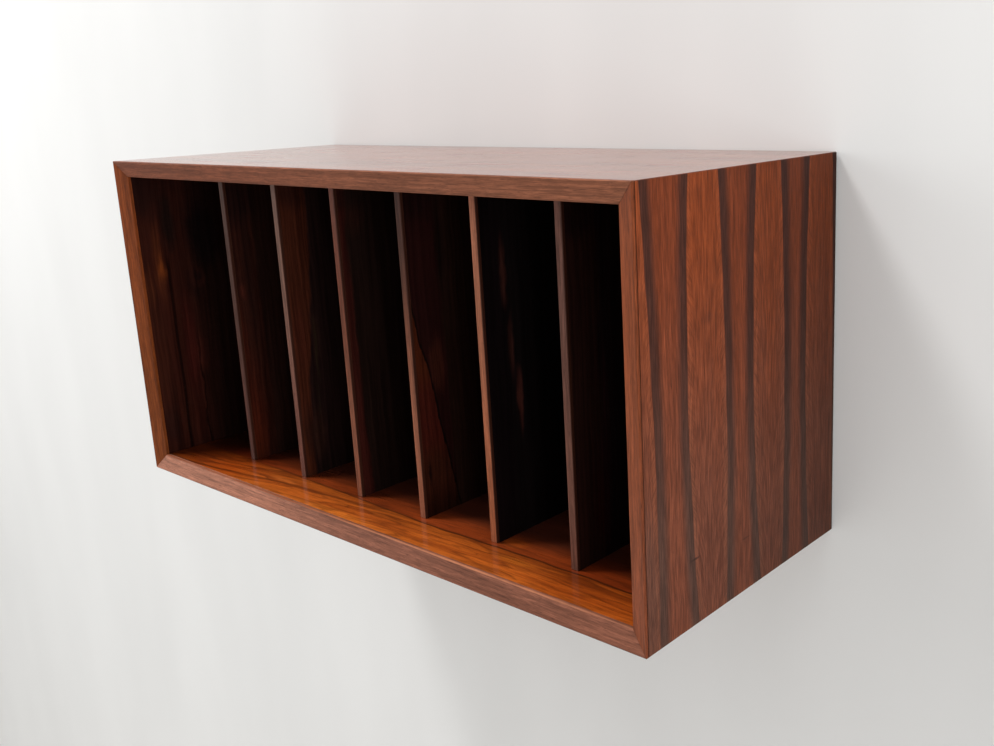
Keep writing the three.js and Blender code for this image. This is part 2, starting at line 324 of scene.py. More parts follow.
# Uneven drift of a leaf, so that no edge in it is straight.
def buildDrift():
    group, given, result = newGroup(
        "leafDrift",
        {"Point": None, "Seed": 0, "Sideways": 9, "Lengthways": 24},
        ("Across", "Along"),
    )
    place = moved(group, given["Point"], pointOf(group, given["Seed"], 0, given["Seed"]))
    slow = noise(group, scaled(group, place, (0.045, 0.045, 0.02)), 3, 0.6)
    fine = noise(group, scaled(group, place, (0.24, 0.24, 0.035)), 2, 0.5)
    both = calc(group, "MULTIPLY_ADD", minus(group, fine, 0.5), 0.35, minus(group, slow, 0.5))
    feed(group, result["Across"], times(group, both, times(group, given["Sideways"], 2)))
    elsewhere = moved(group, place, (37, 0, 81))
    other = noise(group, scaled(group, elsewhere, (0.05, 0.05, 0.03)))
    feed(group, result["Along"], times(group, minus(group, other, 0.5), given["Lengthways"]))
    return group


# Rubbed edges with a painted highlight: full on the edge, broken up away from it.
def buildEdgeRubHighlight():
    group, given, result = newGroup(
        "edgeRubHighlight", {"Distance": 0, "Width": 1, "Point": None}, ("Mask",),
    )
    wear = noise(group, scaled(group, given["Point"], (0.03, 0.03, 0.03)), 3)
    reach = times(group, given["Width"], ease(group, wear, 0.3, 0.7, 0.6, 1.1))
    near = ease(group, calc(group, "ABSOLUTE", given["Distance"]), times(group, reach, 0.3), reach, 1, 0)
    feed(group, result["Mask"], times(group, near, ease(group, wear, 0.3, 0.7, 0.6, 0.95)))
    return group


# Satin lacquer: pores stay a little open, and the film is a touch uneven.
def buildLacquer():
    group, given, result = newGroup(
        "satinLacquer",
        {"Point": None, "Fibre": 0.5, "Pore": 0, "Roughness": 0.3, "Relief": 1},
        ("Roughness", "Height"),
    )
    film = noise(group, scaled(group, given["Point"], (0.02, 0.02, 0.02)), 2)
    patch = times(group, minus(group, film, 0.5), 0.12)
    rough = plus(group, given["Roughness"], patch)
    rough = plus(group, rough, times(group, given["Pore"], 0.12))
    rough = plus(group, rough, times(group, minus(group, given["Fibre"], 0.5), 0.08))
    feed(group, result["Roughness"], rough)
    depth = minus(group, times(group, given["Fibre"], 0.35), given["Pore"])
    feed(group, result["Height"], times(group, depth, given["Relief"]))
    return group


grain = buildGrain()
figure = buildFigure()
heartBand = buildHeartBand()
lacquer = buildLacquer()
hatching = buildHatching()
edgeRubHighlight = buildEdgeRubHighlight()
softPatch = buildPatch()
leafDrift = buildDrift()
print("wood groups built")


def startMaterial(name):
    material = bpy.data.materials.new(name)
    material.use_nodes = True
    tree = material.node_tree
    tree.nodes.clear()
    shader = addNode(tree, "ShaderNodeBsdfPrincipled")
    ending = addNode(tree, "ShaderNodeOutputMaterial")
    tree.links.new(shader.outputs[0], ending.inputs[0])
    where = addNode(tree, "ShaderNodeTexCoord").outputs["Object"]
    millimetres = scaled(tree, where, (1000, 1000, 1000))
    return material, tree, shader, millimetres


woodFilm = {"strength": 0.35, "distance": 0.0001, "ior": 1.5}


def pored(tree, colour, cells, look):
    return mixed(tree, times(tree, cells["Pore"], look["poreShade"]), colour, look["line"])


def finishWood(tree, shader, colour, point, cells, look):
    feed(tree, shader.inputs["Base Color"], colour)
    film = useGroup(tree, lacquer, Point=point, Fibre=cells["Fibre"], Pore=cells["Pore"],
                    Roughness=look["roughness"], Relief=look["relief"])
    feed(tree, shader.inputs["Roughness"], film["Roughness"])
    bump = addNode(tree, "ShaderNodeBump")
    bump.inputs["Strength"].default_value = woodFilm["strength"]
    bump.inputs["Distance"].default_value = woodFilm["distance"]
    feed(tree, bump.inputs["Height"], film["Height"])
    feed(tree, shader.inputs["Normal"], bump.outputs[0])
    shader.inputs["Coat Weight"].default_value = look["coat"]
    shader.inputs["Coat Roughness"].default_value = look["coatRoughness"]
    shader.inputs["Specular IOR Level"].default_value = look["specular"]
    shader.inputs["IOR"].default_value = woodFilm["ior"]


# Patches are (across, along, half width, half height, core, strength, colour), in millimetres.
def patched(tree, colour, across, along, patches):
    for *form, strength, tint in patches:
        values = dict(zip(("AcrossMiddle", "AlongMiddle", "AcrossHalf", "AlongHalf", "Core"), form))
        mask = useGroup(tree, softPatch, Across=across, Along=along, **values)["Mask"]
        colour = mixed(tree, times(tree, mask, strength), colour, tint)
    return colour


# The two sides: one veneer for the outer and the inner face.

sideLook = {
    # brown and the colours named Low are greyer: painted sheen over the lower part of the side
    "orange": (0.205, 0.043, 0.0115, 1), "brown": (0.15, 0.047, 0.0255, 1),
    "rim": (0.26, 0.058, 0.018, 1), "rimLow": (0.18, 0.062, 0.034, 1),
    "heart": (0.17, 0.037, 0.0125, 1), "heartLow": (0.17, 0.05, 0.0255, 1),
    "dark": (0.05, 0.0175, 0.0115, 1), "darkLow": (0.078, 0.038, 0.027, 1),
    "line": (0.033, 0.015, 0.011, 1), "paintedSheen": (0.118, 0.053, 0.036, 1),
    "roughness": 0.42, "relief": 1, "specular": 0.05, "coat": 0, "coatRoughness": 0.2,
    "poreShade": 0.4, "hatchTone": (0.3, 0.7, 0.74, 1.2), "heartTone": (0.3, 0.7, 0.8, 1.14),
    "darkTone": (0.3, 0.7, 0.85, 1.15), "dashTone": (0.3, 0.7, 0.78, 1.22),
    "fibreTone": (0.25, 0.75, 0.66, 1.28), "heightFade": (20, 110, 0.86, 1),
    "depthFades": [(50, 290, 1.06, 0.64), (255, 300, 1, 0.86)],
    # the heart stripes of one side: left edge and right edge at the top, middle and bottom, and how
    # broad their dark borders are
    "bands": [(7, 17.5, 19, 70, 65, 76), (112, 121, 118, 171, 165, 176),
              (211, 218.5, 214, 264, 258, 266), (307, 311, 313, 350, 350, 350)],
    "darkWidth": 18, "leaf": 99.5, "leafMiddle": 92,
    # the outer face's wood starts this far from the middle of the cabinet
    "outerFrom": 392,
}
sideLook["patches"] = [
    (71, 62, 10, 1.7, 0.2, 0.8, sideLook["line"]),
    (96, 268, 11, 9, 0.1, 0.35, sideLook["line"]),
    # a greyish patch low down near the front edge: painted sheen
    (6, 50, 18, 110, 0.3, 0.55, sideLook["paintedSheen"]),
    (150, 52, 9, 1.6, 0.2, 0.45, sideLook["line"]),
]
innerLook = {
    "front": (0.032, 0.0075, 0.0045, 1), "deep": (0.012, 0.0042, 0.003, 1),
    "streakTone": (0.3, 0.7, 0.66, 1.35), "fibreTone": (0.25, 0.75, 0.8, 1.18),
    "firstLine": 41.5, "secondLine": 69,
    "patches": [
        (47, 312, 13, 44, 0.3, 0.85, (0.01, 0.005, 0.004, 1)),
        (15, 232, 9, 36, 0.2, 0.6, (0.082, 0.02, 0.008, 1)),
        (74, 228, 12, 30, 0.2, 0.6, (0.01, 0.004, 0.0035, 1)),
        (73, 138, 11, 34, 0.2, 0.6, (0.048, 0.01, 0.0065, 1)),
        (19, 56, 15, 36, 0.2, 0.6, (0.014, 0.0055, 0.005, 1)),
        (41, 58, 6, 36, 0.2, 0.6, (0.042, 0.012, 0.007, 1)),
        (16, 150, 18, 130, 0.2, 0.4, (0.05, 0.0135, 0.007, 1)),
        (31, 262, 11, 66, 0.2, 0.55, (0.09, 0.021, 0.007, 1)),
        (34, 256, 6, 24, 0.1, 0.6, (0.2, 0.046, 0.009, 1)),
        (58, 150, 15, 90, 0.2, 0.75, (0.056, 0.009, 0.0065, 1)),
        (60, 60, 12, 60, 0.2, 0.4, (0.045, 0.009, 0.0055, 1)),
        (26, 50, 9, 70, 0.2, 0.5, (0.017, 0.005, 0.0035, 1)),
        (93, 292, 32, 58, 0.3, 0.85, (0.0045, 0.0025, 0.0028, 1)),
        (78, 238, 14, 18, 0.5, 0.55, (0.03, 0.008, 0.0055, 1)),
        (79, 243, 7.5, 8.5, 0.3, 0.75, (0.009, 0.0035, 0.0035, 1)),
        # painted shade under the top board
        (18, 352, 50, 44, 0.2, 0.65, (0.011, 0.0045, 0.004, 1)),
    ],
}


def paintSide():
    material, tree, shader, place = startMaterial("side_veneer")
    x, y, z = parts(tree, place)
    depth = plus(tree, y, cabinet["halfDepth"])
    point = pointOf(tree, y, x, z)
    cells = useGroup(tree, grain, Point=point, Seed=11)
    wobble = noise(tree, scaled(tree, point, (0.02, 0.01, 0.014)), 2)
    across = calc(tree, "MULTIPLY_ADD", minus(tree, wobble, 0.5), 4, depth)
    along = calc(tree, "DIVIDE", z, cabinet["height"])

    # the outer face: four leaves side by side, each with a heart stripe and a feathered middle
    inside, dark, rim = 0, 0, 0
    for edges in sideLook["bands"]:
        band = useGroup(tree, heartBand, Across=across, Along=along, DarkWidth=sideLook["darkWidth"],
                        **dict(zip(bandEdges, edges)))
        inside = calc(tree, "MAXIMUM", band["Inside"], inside)
        dark = calc(tree, "MAXIMUM", band["Dark"], dark)
        rim = calc(tree, "MAXIMUM", band["Rim"], rim)
    feather = useGroup(tree, hatching, Across=across, Along=z, Middle=sideLook["leafMiddle"],
                       Leaf=sideLook["leaf"])
    # towards the bottom the colours turn to the greyer brown and Low ones: painted sheen over the lower part
    sheenHeight = calc(tree, "MULTIPLY_ADD", minus(tree, cells["Tone"], 0.5), 0.5, along)
    sheenHeight = ease(tree, sheenHeight, 0.2, 0.95)
    plain = mixed(tree, sheenHeight, sideLook["brown"], sideLook["orange"])
    glowing = mixed(tree, sheenHeight, sideLook["rimLow"], sideLook["rim"])
    plain = mixed(tree, times(tree, rim, 0.7), plain, glowing)
    quiet = mixed(tree, ease(tree, depth, 250, 285, 0, 0.8), feather["Hatch"], cells["Streak"])
    plain = toned(tree, plain, quiet, *sideLook["hatchTone"])
    heart = mixed(tree, sheenHeight, sideLook["heartLow"], sideLook["heart"])
    heart = toned(tree, heart, cells["Streak"], *sideLook["heartTone"])
    outer = mixed(tree, inside, plain, heart)
    stripe = mixed(tree, ease(tree, along, 0.1, 0.75), sideLook["darkLow"], sideLook["dark"])
    stripe = toned(tree, stripe, cells["Streak"], *sideLook["darkTone"])
    outer = mixed(tree, times(tree, dark, 0.95), outer, stripe)
    outer = patched(tree, outer, across, z, sideLook["patches"])
    for fade in sideLook["depthFades"]:
        outer = toned(tree, outer, depth, *fade)
    outer = toned(tree, outer, z, *sideLook["heightFade"])
    outer = toned(tree, outer, cells["Dash"], *sideLook["dashTone"])
    outer = toned(tree, outer, cells["Fibre"], *sideLook["fibreTone"])

    # the inner face: darker with depth and under the top board, which is painted shade, with a glowing patch
    # and dark lines near the front
    drift = useGroup(tree, leafDrift, Point=point, Seed=5, Sideways=8, Lengthways=30)
    innerAcross = plus(tree, depth, drift["Across"])
    innerAlong = plus(tree, z, drift["Along"])
    inner = mixed(tree, ease(tree, innerAcross, 42, 100), innerLook["front"], innerLook["deep"])
    inner = patched(tree, inner, innerAcross, innerAlong, innerLook["patches"])
    inner = toned(tree, inner, cells["Streak"], *innerLook["streakTone"])
    # each line is dark up to a height and fades out above it
    line = calc(tree, "ABSOLUTE", minus(tree, across, innerLook["firstLine"]))
    above = ease(tree, innerAlong, 250, 285)
    line = calc(tree, "MAXIMUM", ease(tree, line, 0.6, 3.4, 0.3, 1), above)
    second = calc(tree, "ABSOLUTE", minus(tree, innerAcross, innerLook["secondLine"]))
    above = ease(tree, innerAlong, 120, 190)
    second = calc(tree, "MAXIMUM", ease(tree, second, 0.4, 2.2, 0.4, 1), above)
    inner = shaded(tree, inner, times(tree, line, second))
    inner = toned(tree, inner, cells["Fibre"], *innerLook["fibreTone"])

    outside = calc(tree, "GREATER_THAN", calc(tree, "ABSOLUTE", x), sideLook["outerFrom"])
    colour = mixed(tree, outside, inner, outer)
    colour = pored(tree, colour, cells, sideLook)
    finishWood(tree, shader, colour, place, cells, sideLook)
    return material


# The floor of the cabinet.

floorLook = {
    "front": (0.52, 0.11, 0.013, 1), "frontDeep": (0.36, 0.07, 0.009, 1), "edge": (0.58, 0.14, 0.019, 1),
    "behind": (0.3, 0.048, 0.009, 1), "behindDeep": (0.085, 0.02, 0.01, 1),
    "line": (0.06, 0.013, 0.004, 1), "outside": (0.17, 0.06, 0.034, 1),
    # factors of the colour at the two ends; the left one is painted shade cast by the left side
    "leftEndShade": (0.8, 0.62, 0.45, 1), "rightEnd": (0.76, 0.66, 0.56, 1),
    "patches": [
        (209, 41, 36, 7.5, 0.3, 0.3, (0.62, 0.17, 0.016, 1)),
        (300, 24, 26, 7, 0.2, 0.4, (0.36, 0.07, 0.009, 1)),
        (-40, 14, 90, 10, 0.3, 0.5, (0.84, 0.22, 0.026, 1)),
        (-171, 40, 34, 6, 0.3, 0.5, (0.8, 0.2, 0.034, 1)),
    ],
    "roughness": 0.3, "relief": 0.5, "specular": 0.2, "coat": 0.8, "coatRoughness": 0.07,
    "poreShade": 0.35, "fibreTone": (0.25, 0.75, 0.74, 1.22), "underTone": (0.3, 0.7, 0.7, 1.2),
    "frontFade": (24, 60, 1, 0.68), "behindTone": (0.3, 0.7, 0.75, 1.25),
    "behindFade": (0.48, 0.62, 0.7, 1), "leftSideShade": (-0.03, 0.13, 0.3, 1), "topFrom": 10,
    # two dark lines drawn over the width: share of the width, depth behind the front edge
    "straight": [(0, 60), (0.16, 59), (0.4, 56), (0.58, 52), (0.8, 55), (1, 53)],
    "wavy": [(0, 9), (0.08, 12), (0.16, 20), (0.235, 29), (0.3, 36), (0.4, 41), (0.5, 47),
             (0.62, 53), (1, 58)],
}


def paintFloor():
    material, tree, shader, place = startMaterial("bottom_veneer")
    x, y, z = parts(tree, place)
    depth = plus(tree, y, cabinet["halfDepth"])
    width = calc(tree, "DIVIDE", plus(tree, x, cabinet["innerWidth"] / 2), cabinet["innerWidth"])
    straight = drawn(tree, width, floorLook["straight"])
    wavy = drawn(tree, width, floorLook["wavy"])
    tremble = noise(tree, scaled(tree, place, (0.022, 0.05, 0)), 3)
    tremble = times(tree, minus(tree, tremble, 0.5), 4.5)
    fromStraight = minus(tree, plus(tree, depth, tremble), straight)
    fromWavy = minus(tree, plus(tree, depth, tremble), wavy)
    # the rest of the figure runs along the wavy line
    cells = useGroup(tree, grain, Point=pointOf(tree, fromWavy, z, x), Seed=56)
    flow = useGroup(tree, figure, Point=pointOf(tree, fromWavy, 0, x), Width=17, Length=210, Rings=4,
                    Thickness=0.17, Seed=4.6)
    fine = useGroup(tree, figure, Point=pointOf(tree, fromWavy, 0, x), Width=9, Length=120, Rings=5,
                    Thickness=0.2, Seed=9.3)
    front = mixed(tree, ease(tree, flow["Band"], 0, 0.8), floorLook["frontDeep"], floorLook["front"])
    # lighter at the very front and darker with depth towards the line: painted light that falls off into the
    # cabinet
    front = mixed(tree, ease(tree, depth, 8, 24, 0.7, 0), front, floorLook["edge"])
    front = patched(tree, front, x, depth, floorLook["patches"])
    front = toned(tree, front, depth, *floorLook["frontFade"])
    # darker with depth behind the line: painted shade deeper in the cabinet
    behind = mixed(tree, ease(tree, depth, 64, 100), floorLook["behind"], floorLook["behindDeep"])
    behind = toned(tree, behind, cells["Tone"], *floorLook["behindTone"])
    behind = toned(tree, behind, width, *floorLook["behindFade"])
    # painted shadow of each divider of the left half: darker in the corner that it makes with the floor,
    # widening with depth
    pitch = cabinet["dividerPitch"]
    firstFace = 2.5 * pitch - cabinet["dividerThickness"] / 2
    bay = calc(tree, "FRACT", calc(tree, "DIVIDE", plus(tree, x, firstFace), pitch))
    beside = times(tree, bay, pitch)
    corner = minus(tree, beside, times(tree, minus(tree, depth, 60), 1.3))
    corner = calc(tree, "MAXIMUM", ease(tree, corner, -4, 14, 0.5, 1), ease(tree, width, 0.42, 0.56))
    behind = shaded(tree, behind, calc(tree, "MAXIMUM", corner, ease(tree, depth, 72, 88)))
    # a lighter patch beside the fifth divider: painted light
    behind = patched(tree, behind, x, depth, [(180, 70, 26, 14, 0.3, 0.6, floorLook["frontDeep"])])
    top = mixed(tree, ease(tree, fromStraight, -2, 3), front, behind)
    lines = calc(tree, "MAXIMUM", times(tree, flow["Line"], 0.45), times(tree, fine["Line"], 0.35))
    top = mixed(tree, lines, top, floorLook["line"])
    # the two drawn lines, thin and broken along the straight one and broader along the wavy one
    fineWidth = ease(tree, cells["Tone"], 0.35, 0.65, 0.8, 1.6)
    offStraight = calc(tree, "ABSOLUTE", fromStraight)
    fineWidth = times(tree, fineWidth, ease(tree, width, 0.5, 0.7, 1, 1.5))
    thin = ease(tree, offStraight, times(tree, fineWidth, 0.4), times(tree, fineWidth, 1.8), 1, 0)
    thin = times(tree, thin, ease(tree, width, 0.1, 0.62, 0.5, 0.9))
    offWavy = calc(tree, "ABSOLUTE", fromWavy)
    broad = ease(tree, offWavy, 0.3, times(tree, fineWidth, 3.4), 1, 0)
    broad = times(tree, broad, ease(tree, width, 0.46, 0.62, 0.6, 0))
    top = mixed(tree, calc(tree, "MAXIMUM", thin, broad), top, floorLook["line"])
    # painted shade cast by the left side: darker towards the left end and further back
    fromLeft = calc(tree, "MULTIPLY_ADD", depth, -0.0012, width)
    top = toned(tree, top, fromLeft, *floorLook["leftSideShade"])
    leftward = ease(tree, width, 0.14, 0.26, 1, 0)
    top = mixed(tree, leftward, top, mixed(tree, 1, top, floorLook["leftEndShade"], "MULTIPLY"))
    rightward = ease(tree, width, 0.78, 0.88)
    top = mixed(tree, rightward, top, mixed(tree, 1, top, floorLook["rightEnd"], "MULTIPLY"))
    under = toned(tree, floorLook["outside"], cells["Streak"], *floorLook["underTone"])
    colour = mixed(tree, calc(tree, "GREATER_THAN", z, floorLook["topFrom"]), under, top)
    colour = toned(tree, colour, cells["Fibre"], *floorLook["fibreTone"])
    colour = pored(tree, colour, cells, floorLook)
    finishWood(tree, shader, colour, place, cells, floorLook)
    return material


# Top and back.

veneers = {
    "top_veneer": {
        "light": (0.25, 0.068, 0.026, 1), "deep": (0.17, 0.044, 0.017, 1), "line": (0.08, 0.024, 0.013, 1),
        "width": 70, "length": 900, "rings": 4, "seed": 3, "lineStrength": 0.3, "poreShade": 0.5,
        "roughness": 0.26, "relief": 0.5, "specular": 0.4, "coat": 0.55, "coatRoughness": 0.12,
    },
    "back_veneer": {
        "light": (0.1, 0.032, 0.018, 1), "deep": (0.045, 0.018, 0.012, 1), "line": (0.02, 0.01, 0.008, 1),
        "width": 60, "length": 700, "rings": 5, "seed": 15, "lineStrength": 0.6, "poreShade": 0.5,
        "roughness": 0.5, "relief": 1, "specular": 0.2, "coat": 0, "coatRoughness": 0.3,
    },
}
veneerTones = {"streak": (0.3, 0.7, 0.75, 1.2), "fibre": (0.25, 0.75, 0.78, 1.2)}


def paintVeneer(name, look):
    material, tree, shader, place = startMaterial(name)
    x, y, z = parts(tree, place)
    point = pointOf(tree, y, z, x)
    cells = useGroup(tree, grain, Point=point, Seed=look["seed"] * 7)
    flow = useGroup(tree, figure, Point=point, Width=look["width"], Length=look["length"],
                    Rings=look["rings"], Thickness=0.16, Seed=look["seed"])
    tone = plus(tree, times(tree, flow["Band"], 0.5), times(tree, cells["Tone"], 0.5))
    colour = mixed(tree, ease(tree, tone, 0.25, 0.75), look["deep"], look["light"])
    colour = mixed(tree, times(tree, flow["Line"], look["lineStrength"]), colour, look["line"])
    colour = toned(tree, colour, cells["Streak"], *veneerTones["streak"])
    colour = toned(tree, colour, cells["Fibre"], *veneerTones["fibre"])
    colour = pored(tree, colour, cells, look)
    finishWood(tree, shader, colour, place, cells, look)
    return material


# The six dividers.

# Each divider has its own leaf: the colour of the band behind its front edge, the colour behind that
# band, and how deep the band reaches at a few heights (share of the height, depth from the front edge).
# The dark patches near the top, at heights of 340 to 352, are painted shade under the top board.
dividerLeaves = {
    1: {"front": (0.028, 0.0078, 0.005, 1), "behind": (0.019, 0.007, 0.005, 1), "reach": [(0, 34), (1, 30)],
        "patches": [(21, 250, 8, 130, 0.3, 0.45, (0.009, 0.0045, 0.004, 1)),
                    (6, 70, 26, 110, 0.1, 0.75, (0.062, 0.0105, 0.005, 1)),
                    (6, 35, 20, 60, 0.2, 0.55, (0.075, 0.014, 0.005, 1)),
                    (3, 170, 9, 70, 0.2, 0.5, (0.07, 0.0125, 0.006, 1)),
                    (9, 232, 6, 14, 0.2, 0.55, (0.065, 0.014, 0.009, 1)),
                    (14, 340, 40, 40, 0.2, 0.6, (0.008, 0.004, 0.004, 1))]},
    2: {"front": (0.055, 0.0138, 0.0068, 1), "behind": (0.016, 0.007, 0.0062, 1),
        "reach": [(0, 14), (0.3, 18), (0.55, 28), (0.68, 33), (1, 34)],
        "patches": [(33, 180, 7, 44, 0.3, 0.5, (0.03, 0.013, 0.0085, 1)),
                    (24, 68, 14, 44, 0.3, 0.5, (0.042, 0.017, 0.011, 1)),
                    (12, 190, 12, 60, 0.2, 0.5, (0.07, 0.015, 0.0085, 1)),
                    (32, 168, 2.6, 52, 0.2, 0.55, (0.026, 0.018, 0.008, 1)),
                    (27, 110, 2.4, 40, 0.2, 0.4, (0.022, 0.015, 0.009, 1)),
                    (14, 70, 16, 44, 0.3, 0.7, (0.024, 0.009, 0.0062, 1)),
                    (3, 46, 9, 40, 0.2, 0.5, (0.055, 0.016, 0.0055, 1)),
                    (15, 352, 30, 26, 0.2, 0.6, (0.016, 0.006, 0.005, 1))]},
    3: {"front": (0.038, 0.008, 0.0058, 1), "behind": (0.013, 0.006, 0.0045, 1),
        "reach": [(0, 17), (0.2, 14), (0.5, 13), (0.8, 11), (1, 14)],
        "patches": [(22, 330, 16, 26, 0.2, 0.45, (0.03, 0.009, 0.006, 1)),
                    (6, 352, 20, 22, 0.2, 0.6, (0.014, 0.006, 0.005, 1))]},
    4: {"front": (0.019, 0.0048, 0.0042, 1), "behind": (0.023, 0.009, 0.006, 1),
        "reach": [(0, 46), (0.5, 43), (1, 39)],
        "patches": [(30, 182, 14, 42, 0.3, 0.75, (0.056, 0.014, 0.008, 1)),
                    (46, 300, 10, 60, 0.3, 0.6, (0.006, 0.003, 0.003, 1)),
                    (20, 352, 40, 26, 0.2, 0.6, (0.01, 0.004, 0.004, 1))]},
    5: {"front": (0.0055, 0.003, 0.0034, 1), "behind": (0.007, 0.0045, 0.0045, 1),
        "reach": [(0, 30), (1, 30)],
        "patches": [(30, 288, 6, 44, 0.1, 0.75, (0.058, 0.018, 0.013, 1)),
                    (36, 215, 5.5, 46, 0.1, 0.7, (0.052, 0.016, 0.012, 1)),
                    (44, 160, 6, 46, 0.1, 0.75, (0.08, 0.022, 0.016, 1))]},
    6: {"front": (0.025, 0.0088, 0.0066, 1), "behind": (0.013, 0.006, 0.006, 1),
        "reach": [(0, 40), (0.5, 42), (1, 44)],
        "patches": [(47, 120, 9, 130, 0.4, 0.8, (0.034, 0.01, 0.0115, 1)),
                    (38, 72, 16, 55, 0.2, 0.6, (0.03, 0.0045, 0.004, 1)),
                    (20, 350, 50, 30, 0.2, 0.6, (0.007, 0.003, 0.004, 1))]},
}
dividerLook = {
    "line": (0.005, 0.0025, 0.002, 1), "poreShade": 0.5,
    "roughness": 0.42, "relief": 0.8, "specular": 0.05, "coat": 0, "coatRoughness": 0.25,
    "streakTone": (0.3, 0.7, 0.66, 1.36), "fibreTone": (0.25, 0.75, 0.78, 1.2),
    "depthFade": (40, 120, 1, 0.4),
}
# The seam of one divider: where it meets the front edge, how steeply it falls, and the leaf below it.
seamLook = {
    "divider": 4, "height": 262, "slope": 4.9, "footFade": (20, 60, 0.5, 1),
    "high": (0.07, 0.015, 0.0055, 1), "middle": (0.06, 0.01, 0.0058, 1), "low": (0.042, 0.011, 0.005, 1),
    "patches": [(11, 68, 2.6, 17, 0.3, 0.85, dividerLook["line"])],
}


def paintDivider(number, leaf):
    material, tree, shader, place = startMaterial("divider_veneer_%d" % number)
    x, y, z = parts(tree, place)
    depth = plus(tree, y, cabinet["dividerFront"])
    point = pointOf(tree, y, x, z)
    cells = useGroup(tree, grain, Point=point, Seed=31 * number)
    drift = useGroup(tree, leafDrift, Point=point, Seed=17 * number, Sideways=6, Lengthways=24)
    up = calc(tree, "DIVIDE", minus(tree, z, cabinet["board"]), cabinet["innerHeight"])
    across = plus(tree, depth, drift["Across"])
    along = plus(tree, z, drift["Along"])
    past = minus(tree, across, drawn(tree, up, leaf["reach"]))
    colour = mixed(tree, ease(tree, past, -2, 3), leaf["front"], leaf["behind"])
    colour = patched(tree, colour, across, along, leaf["patches"])
    if number == seamLook["divider"]:
        # a seam runs down and back from the front edge, with a redder leaf below it
        seam = minus(tree, calc(tree, "MULTIPLY_ADD", across, seamLook["slope"], z), seamLook["height"])
        below = mixed(tree, ease(tree, z, 150, 185), seamLook["middle"], seamLook["high"])
        below = mixed(tree, ease(tree, along, 70, 110, 1, 0), below, seamLook["low"])
        below = patched(tree, below, across, along, seamLook["patches"])
        below = toned(tree, below, z, *seamLook["footFade"])
        colour = mixed(tree, ease(tree, seam, -9, -2, 0.8, 0), colour, below)
        onSeam = ease(tree, calc(tree, "ABSOLUTE", seam), 2, 9, 0.9, 0)
        colour = mixed(tree, onSeam, colour, dividerLook["line"])
    colour = toned(tree, colour, cells["Streak"], *dividerLook["streakTone"])
    # darker deeper into the bay: painted shade
    colour = toned(tree, colour, depth, *dividerLook["depthFade"])
    colour = toned(tree, colour, cells["Fibre"], *dividerLook["fibreTone"])
    colour = pored(tree, colour, cells, dividerLook)
    finishWood(tree, shader, colour, place, cells, dividerLook)
    return material


# Solid strips on the front edges.

stripLook = {
    "roughness": 0.4, "relief": 1.2, "specular": 0.1, "coat": 0, "coatRoughness": 0.25,
    "line": (0.05, 0.018, 0.012, 1), "returnedShade": (0.045, 0.014, 0.008, 1),
    "streakTone": (0.34, 0.66, 0.78, 1.2), "dashTone": (0.3, 0.7, 0.84, 1.16),
    "fibreTone": (0.25, 0.75, 0.7, 1.26), "poreShade": 0.6,
    # where the tint of a strip goes over from its start to its end
    "level": (-300, 300), "bottomLevel": (-210, 50), "upright": (60, 330),
    # the rubbed inner edge of the bottom strip, which also carries a painted highlight
    "rubbedHighlightLeft": (0.2, 0.042, 0.007, 1), "rubbedHighlight": (0.5, 0.185, 0.09, 1),
    "edgeHeight": 18.6, "rubHighlightWidth": 1.1,
}
# Each strip's seed, its tint at the left or lower end, and its tint at the right or upper end.
stripTints = {
    "top_front_strip": (5, (0.215, 0.066, 0.032, 1), (0.275, 0.099, 0.052, 1)),
    # the bottom strip is lighter at its left end: painted highlight
    "bottom_front_strip": (15, (0.34, 0.135, 0.08, 1), (0.2, 0.075, 0.045, 1)),
    "left_front_strip": (23, (0.19, 0.046, 0.0108, 1), (0.205, 0.048, 0.0125, 1)),
    "right_front_strip": (33, (0.217, 0.058, 0.024, 1), (0.228, 0.055, 0.018, 1)),
    "divider_strip_1": (41, (0.09, 0.035, 0.026, 1), (0.088, 0.042, 0.031, 1)),
    "divider_strip_2": (47, (0.14, 0.052, 0.036, 1), (0.2, 0.099, 0.07, 1)),
    "divider_strip_3": (53, (0.23, 0.078, 0.042, 1), (0.153, 0.042, 0.022, 1)),
    "divider_strip_4": (59, (0.31, 0.108, 0.058, 1), (0.064, 0.023, 0.014, 1)),
    "divider_strip_5": (65, (0.29, 0.089, 0.04, 1), (0.39, 0.142, 0.078, 1)),
    "divider_strip_6": (71, (0.138, 0.056, 0.038, 1), (0.147, 0.065, 0.048, 1)),
}


